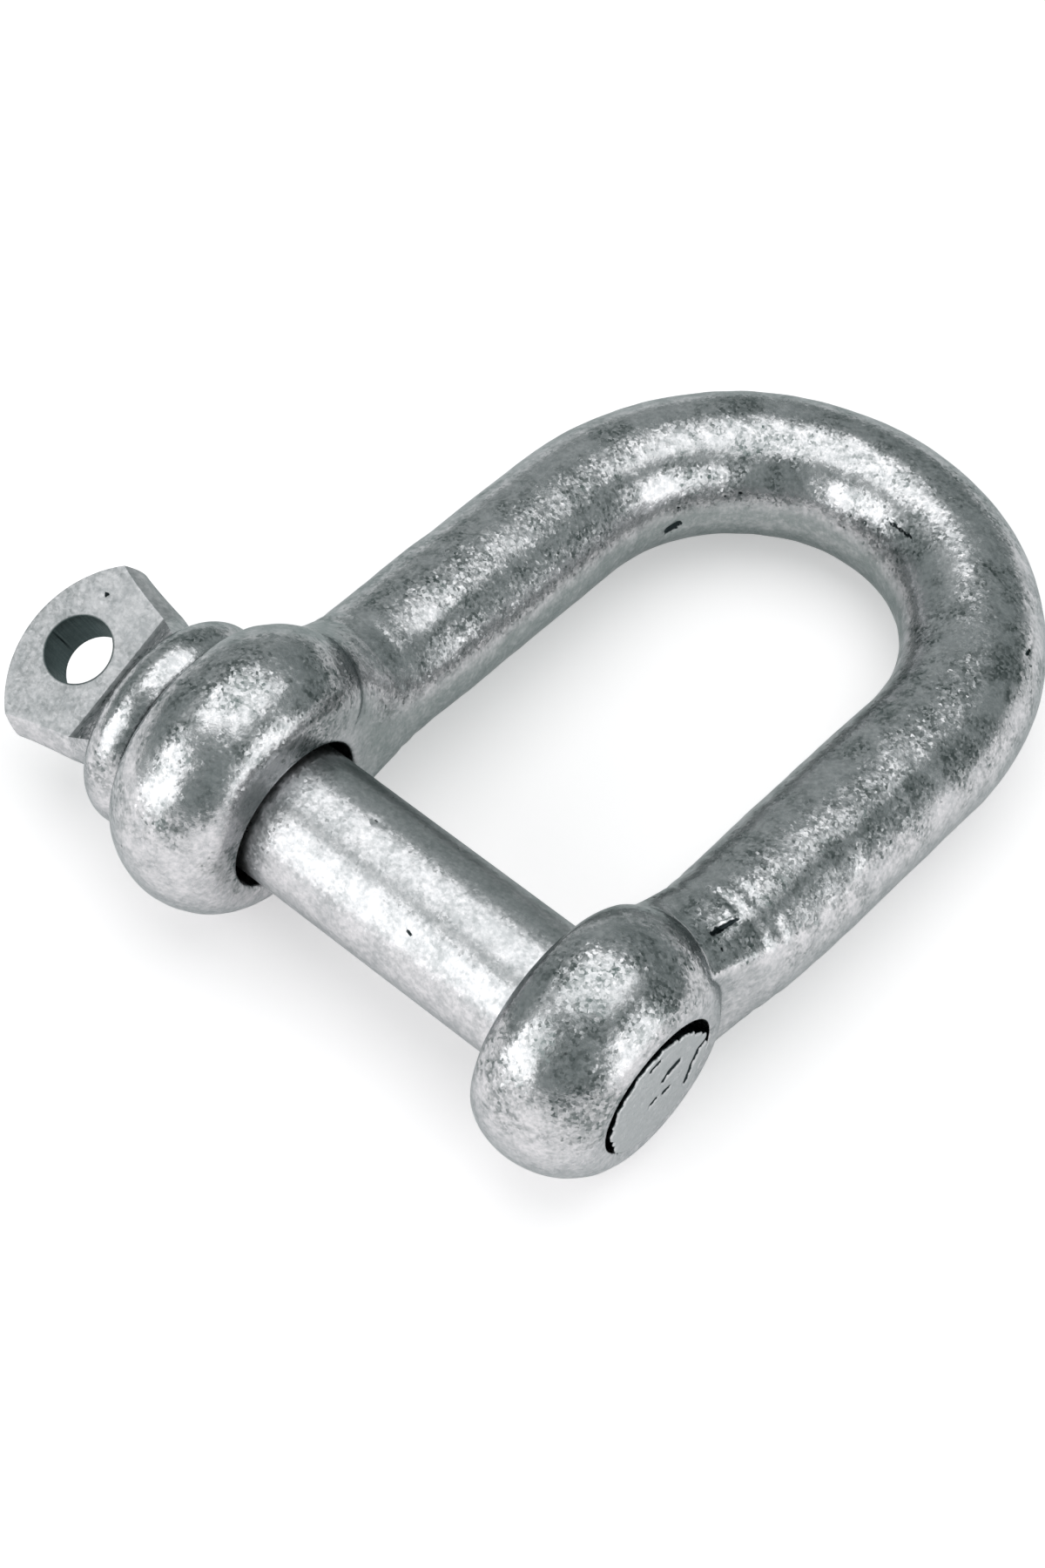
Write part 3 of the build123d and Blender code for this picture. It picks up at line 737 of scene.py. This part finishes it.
def zincColour(tree, look, fields, dirtAndShade):
    # layers, each laid over the last by its mask, from pale zinc to the pin holes, dents and painted shade;
    # first pale to middle, in blotches with a fine mottle: (stain + mottle) / 2
    blotch = addNode(tree, "Math", (fields["stain"], fields["mottle"]), operation="ADD")
    blotch = addNode(tree, "Math", (blotch, 0.5), operation="MULTIPLY")
    middle = addNode(tree, "MapRange", (blotch, *look["blotchRange"]))
    # darker crystals in the patches: partly the crystals' own tone, partly painted dark reflection on the
    # up-facing sides
    tone = addNode(tree, "SeparateColor", (fields["crystal"],), "Red")
    dark = fields["patches"]
    for field, ends in ((tone, look["darkCrystals"]), (fields["stain"], look["darkStains"])):
        share = addNode(tree, "MapRange", (field, *ends))
        dark = addNode(tree, "Math", (dark, share), operation="MULTIPLY")
    # painted dark reflections: distance from the centre / radius + fray, and the nearest area counts
    fray = addNode(tree, "MapRange", (fields["stain"], *look["darkReflectionFray"]))
    darkReflection = 0.0
    for *centre, radius in look["darkReflectionSpots"]:
        away = addNode(tree, "VectorMath", (fields["spot"], centre), "Value", operation="DISTANCE")
        away = addNode(tree, "Math", (away, 1 / radius, fray), operation="MULTIPLY_ADD")
        area = addNode(tree, "MapRange", (away, *look["darkReflectionRange"]))
        darkReflection = addNode(tree, "Math", (darkReflection, area), operation="MAXIMUM")
    share = addNode(tree, "MapRange", (tone, *look["darkReflectionCrystals"]))
    darkReflection = addNode(tree, "Math", (darkReflection, share), operation="MULTIPLY")
    dark = addNode(tree, "Math", (dark, darkReflection), operation="MAXIMUM")
    # painted shade: darker sides of legs and bow, all but the near leg's outer one, and all that faces far
    # back, standing in for the darker reflections there
    outwards = addNode(tree, "VectorMath", (fields["normal"], look["outerWay"]), "Value",
                       operation="DOT_PRODUCT")
    outer = addNode(tree, "MapRange", (outwards, *look["outerFacing"]))
    share = addNode(tree, "MapRange", (fields["x"], *look["outerFrom"]))
    outer = addNode(tree, "Math", (outer, share), operation="MULTIPLY")
    side = addNode(tree, "MapRange", (fields["facing"], *look["sideShadeFacing"]))
    for field, ends in ((fields["y"], look["sideShadeFrom"]), (outer, look["outerKept"])):
        share = addNode(tree, "MapRange", (field, *ends))
        side = addNode(tree, "Math", (side, share), operation="MULTIPLY")
    back = addNode(tree, "VectorMath", (fields["normal"], look["backShadeWay"]), "Value",
                   operation="DOT_PRODUCT")
    back = addNode(tree, "MapRange", (back, *look["backShadeFacing"]))
    side = addNode(tree, "Math", (side, back), operation="MAXIMUM")
    share = addNode(tree, "MapRange", (blotch, *look["sideShadeBlotches"]))
    side = addNode(tree, "Math", (side, share), operation="MULTIPLY")
    colour = linearColour(look["pale"])
    # the side layer is painted shade; the dark layer is partly painted dark reflection, and the hole layer
    # also carries painted shade where collar and eye meet
    for name, mask in (("middle", middle), ("dark", dark), ("side", side), ("hole", dirtAndShade)):
        layer = {0: mask, 6: colour, 7: linearColour(look[name])}
        colour = addNode(tree, "Mix", layer, 2, data_type="RGBA")
    return colour


def pinTouches(tree, look, fields, dirtAndShade, colour):
    # painted dark reflection on the sheared end face, painted shade in the gap round it, and painted shade
    # on the wire hole's wall
    tipFaceShade = addNode(tree, "MapRange", (fields["x"], *look["tipFaceShadeRange"]))
    # painted shade in the recessed gap round the sheared end
    gap = addNode(tree, "MapRange", (fields["fromAxis"], *look["gapShadeDepth"]))
    for ends in (look["gapShadeFrom"], look["gapShadeTo"]):
        share = addNode(tree, "MapRange", (fields["x"], *ends))
        gap = addNode(tree, "Math", (gap, share), operation="MULTIPLY")
    gap = addNode(tree, "Math", (gap, dirtAndShade), operation="MAXIMUM")
    # painted shade on the wire hole's wall: distance from the hole's axis, in the head's own turned frame
    level = addNode(tree, "Mapping", {"Vector": fields["spot"], "Location": (-holeCentre, 0, 0),
                                      "Rotation": (-math.radians(pin["headTurn"]), 0, 0)})
    level = addNode(tree, "VectorMath", (level, (1, 1, 0)), operation="MULTIPLY")
    wall = addNode(tree, "VectorMath", (level,), "Value", operation="LENGTH")
    wall = addNode(tree, "MapRange", (wall, *look["holeWallShadeRange"]))
    for name, mask in (("tipFaceShade", tipFaceShade), ("hole", gap), ("holeWallShade", wall)):
        layer = {0: mask, 6: colour, 7: linearColour(look[name])}
        colour = addNode(tree, "Mix", layer, 2, data_type="RGBA")
    return colour


def crystalNormal(tree, look, fields):
    # each crystal leans its own way, a few of them much more, over orange peel and grain:
    # normal + (crystal's colour - 0.5) * tilt, brought to length 1
    away = addNode(tree, "VectorMath", (fields["crystal"], (0.5, 0.5, 0.5)), operation="SUBTRACT")
    tilt = addNode(tree, "MapRange", (fields["patches"], 0.0, 1.0, look["calmTilt"], look["crystalTilt"]))
    tone = addNode(tree, "SeparateColor", (fields["crystal"],), "Blue")
    glint = addNode(tree, "MapRange", (tone, *look["glints"]))
    tilt = addNode(tree, "Math", (tilt, glint), operation="MULTIPLY")
    away = addNode(tree, "VectorMath", {0: away, "Scale": tilt}, operation="SCALE")
    tilted = addNode(tree, "VectorMath", (fields["normal"], away), operation="ADD")
    tilted = addNode(tree, "VectorMath", (tilted,), operation="NORMALIZE")
    for name in ("peel", "grain"):
        tilted = addNode(tree, "Bump", {"Distance": look[name + "Height"] * mm, "Height": fields[name],
                                        "Normal": tilted})
    return tilted


def zincFinish(name, look):
    # a metal whose colour, roughness and direction at each spot come from the functions above
    material = bpy.data.materials.new(name)
    material.use_nodes = True
    tree = material.node_tree
    fields = surfaceFields(tree, look)
    dirtAndShade = dirtAndShadeMask(tree, look, fields)
    colour = zincColour(tree, look, fields, dirtAndShade)
    if "tipFaceShade" in look:
        colour = pinTouches(tree, look, fields, dirtAndShade, colour)
    roughness = addNode(tree, "MapRange", (fields["stain"], *look["roughness"]))
    for ends in look["rougher"]:
        more = addNode(tree, "MapRange", (fields["x"], *ends))
        roughness = addNode(tree, "Math", (roughness, more), operation="ADD")
    shader = tree.nodes["Principled BSDF"]
    tree.links.new(colour, shader.inputs["Base Color"])
    tree.links.new(roughness, shader.inputs["Roughness"])
    tree.links.new(crystalNormal(tree, look, fields), shader.inputs["Normal"])
    shader.inputs["Metallic"].default_value = 1.0
    # zinc's reflection near its outline, a little below white
    shader.inputs["Specular Tint"].default_value = linearColour(look["edge"])
    return material


bodyZinc = zincFinish("hot_dip_zinc_on_forging", bodyLook)
pinZinc = zincFinish("hot_dip_zinc_on_pin", pinLook)
body.data.materials.append(bodyZinc)
screwPin.data.materials.clear()
screwPin.data.materials.append(pinZinc)
for name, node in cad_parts.items():
    for slotIndex in range(len(node.material_slots)):
        node.material_slots[slotIndex].material = bodyZinc if name == "shackle_body" else pinZinc
print("finishes made")

# Floor, light and camera
studio = {
    # floorZ in mm; half the floor's side, the lamps' distance and the nearest that shows in metres
    "floorZ": -shackle["axisHeight"], "floorHalf": 8.0, "lampDistance": 0.6, "nearest": 0.01,
    "paper": "#f3eff0", "paperGlow": 0.36, "paperRoughness": 0.9, "walls": "#8b9594",
    # azimuth from +X, elevation, half width and half height in degrees, brightness
    "softboxes": {
        "front_left_softbox": (-112, 22, 22, 29, 1.75),
        "right_softbox": (9, 16, 23, 22, 1.55),
        "top_softbox": (100, 79, 31, 28, 1.47),
        "left_high_softbox": (-178, 50, 28, 12, 0.2),
        "back_left_softbox": (142, 10, 26, 20, 0.14),
    },
    # where the photograph was taken from: angles in degrees, aim and distance in mm
    "azimuth": -51.3266, "elevation": 54.5946, "roll": 2.6907,
    "aim": (-1.8901, 14.1704, 0.0), "distance": 268.7331, "lens": 77.88, "sensor": 36.0,
}


def wayTo(azimuth, elevation):
    # unit vector from two angles in degrees: (cos e cos a, cos e sin a, sin e)
    a, e = math.radians(azimuth), math.radians(elevation)
    return Vector((math.cos(e) * math.cos(a), math.cos(e) * math.sin(a), math.sin(e)))


half, low = studio["floorHalf"], studio["floorZ"] * mm
floorMesh = bpy.data.meshes.new("studio_floor")
corners = [(-half, -half, low), (half, -half, low), (half, half, low), (-half, half, low)]
floorMesh.from_pydata(corners, [], [(0, 1, 2, 3)])
floor = bpy.data.objects.new("studio_floor", floorMesh)
bpy.context.scene.collection.objects.link(floor)
# matt white card; seen directly or in the metal it also glows a little, which makes it read white
paper = bpy.data.materials.new("white_card")
paper.use_nodes = True
tree = paper.node_tree
shader = tree.nodes["Principled BSDF"]
shader.inputs["Base Color"].default_value = linearColour(studio["paper"])
shader.inputs["Roughness"].default_value = studio["paperRoughness"]
shader.inputs["Specular IOR Level"].default_value = 0.0
shader.inputs["Emission Color"].default_value = (1, 1, 1, 1)
seen = 0.0
for kind in ("Is Camera Ray", "Is Glossy Ray", "Is Transmission Ray"):
    seen = addNode(tree, "Math", (seen, addNode(tree, "LightPath", output=kind)), operation="MAXIMUM")
glow = addNode(tree, "Math", (seen, studio["paperGlow"]), operation="MULTIPLY")
tree.links.new(glow, shader.inputs["Emission Strength"])
floorMesh.materials.append(paper)

world = bpy.data.worlds.new("studio_world")
bpy.context.scene.world = world
world.use_nodes = True
world.node_tree.nodes["Background"].inputs["Color"].default_value = linearColour(studio["walls"])

for name, (azimuth, elevation, halfWide, halfHigh, level) in studio["softboxes"].items():
    light = bpy.data.lights.new(name, "AREA")
    light.shape = "RECTANGLE"
    light.size = 2 * studio["lampDistance"] * math.tan(math.radians(halfWide))
    light.size_y = 2 * studio["lampDistance"] * math.tan(math.radians(halfHigh))
    # brightness * pi * area, so that a softbox looks as bright as its level whatever its size
    light.energy = level * math.pi * light.size * light.size_y
    lamp = bpy.data.objects.new(name, light)
    bpy.context.scene.collection.objects.link(lamp)
    towards = wayTo(azimuth, elevation)
    lamp.location = towards * studio["lampDistance"]
    lamp.rotation_mode = "QUATERNION"
    lamp.rotation_quaternion = (-towards).to_track_quat("-Z", "Y")

cameraData = bpy.data.cameras.new("photo_camera")
cameraData.sensor_width = studio["sensor"]
cameraData.lens = studio["lens"]
cameraData.clip_start = studio["nearest"]
camera = bpy.data.objects.new("photo_camera", cameraData)
bpy.context.scene.collection.objects.link(camera)
place = Vector(studio["aim"]) + studio["distance"] * wayTo(studio["azimuth"], studio["elevation"])
aroundUp = Matrix.Rotation(math.radians(90 + studio["azimuth"]), 4, "Z")
downwards = Matrix.Rotation(math.radians(90 - studio["elevation"]), 4, "X")
aboutView = Matrix.Rotation(math.radians(studio["roll"]), 4, "Z")
camera.matrix_world = Matrix.Translation(place * mm) @ aroundUp @ downwards @ aboutView
bpy.context.scene.camera = camera
bpy.context.scene.view_settings.view_transform = "Standard"
print("studio and camera made")
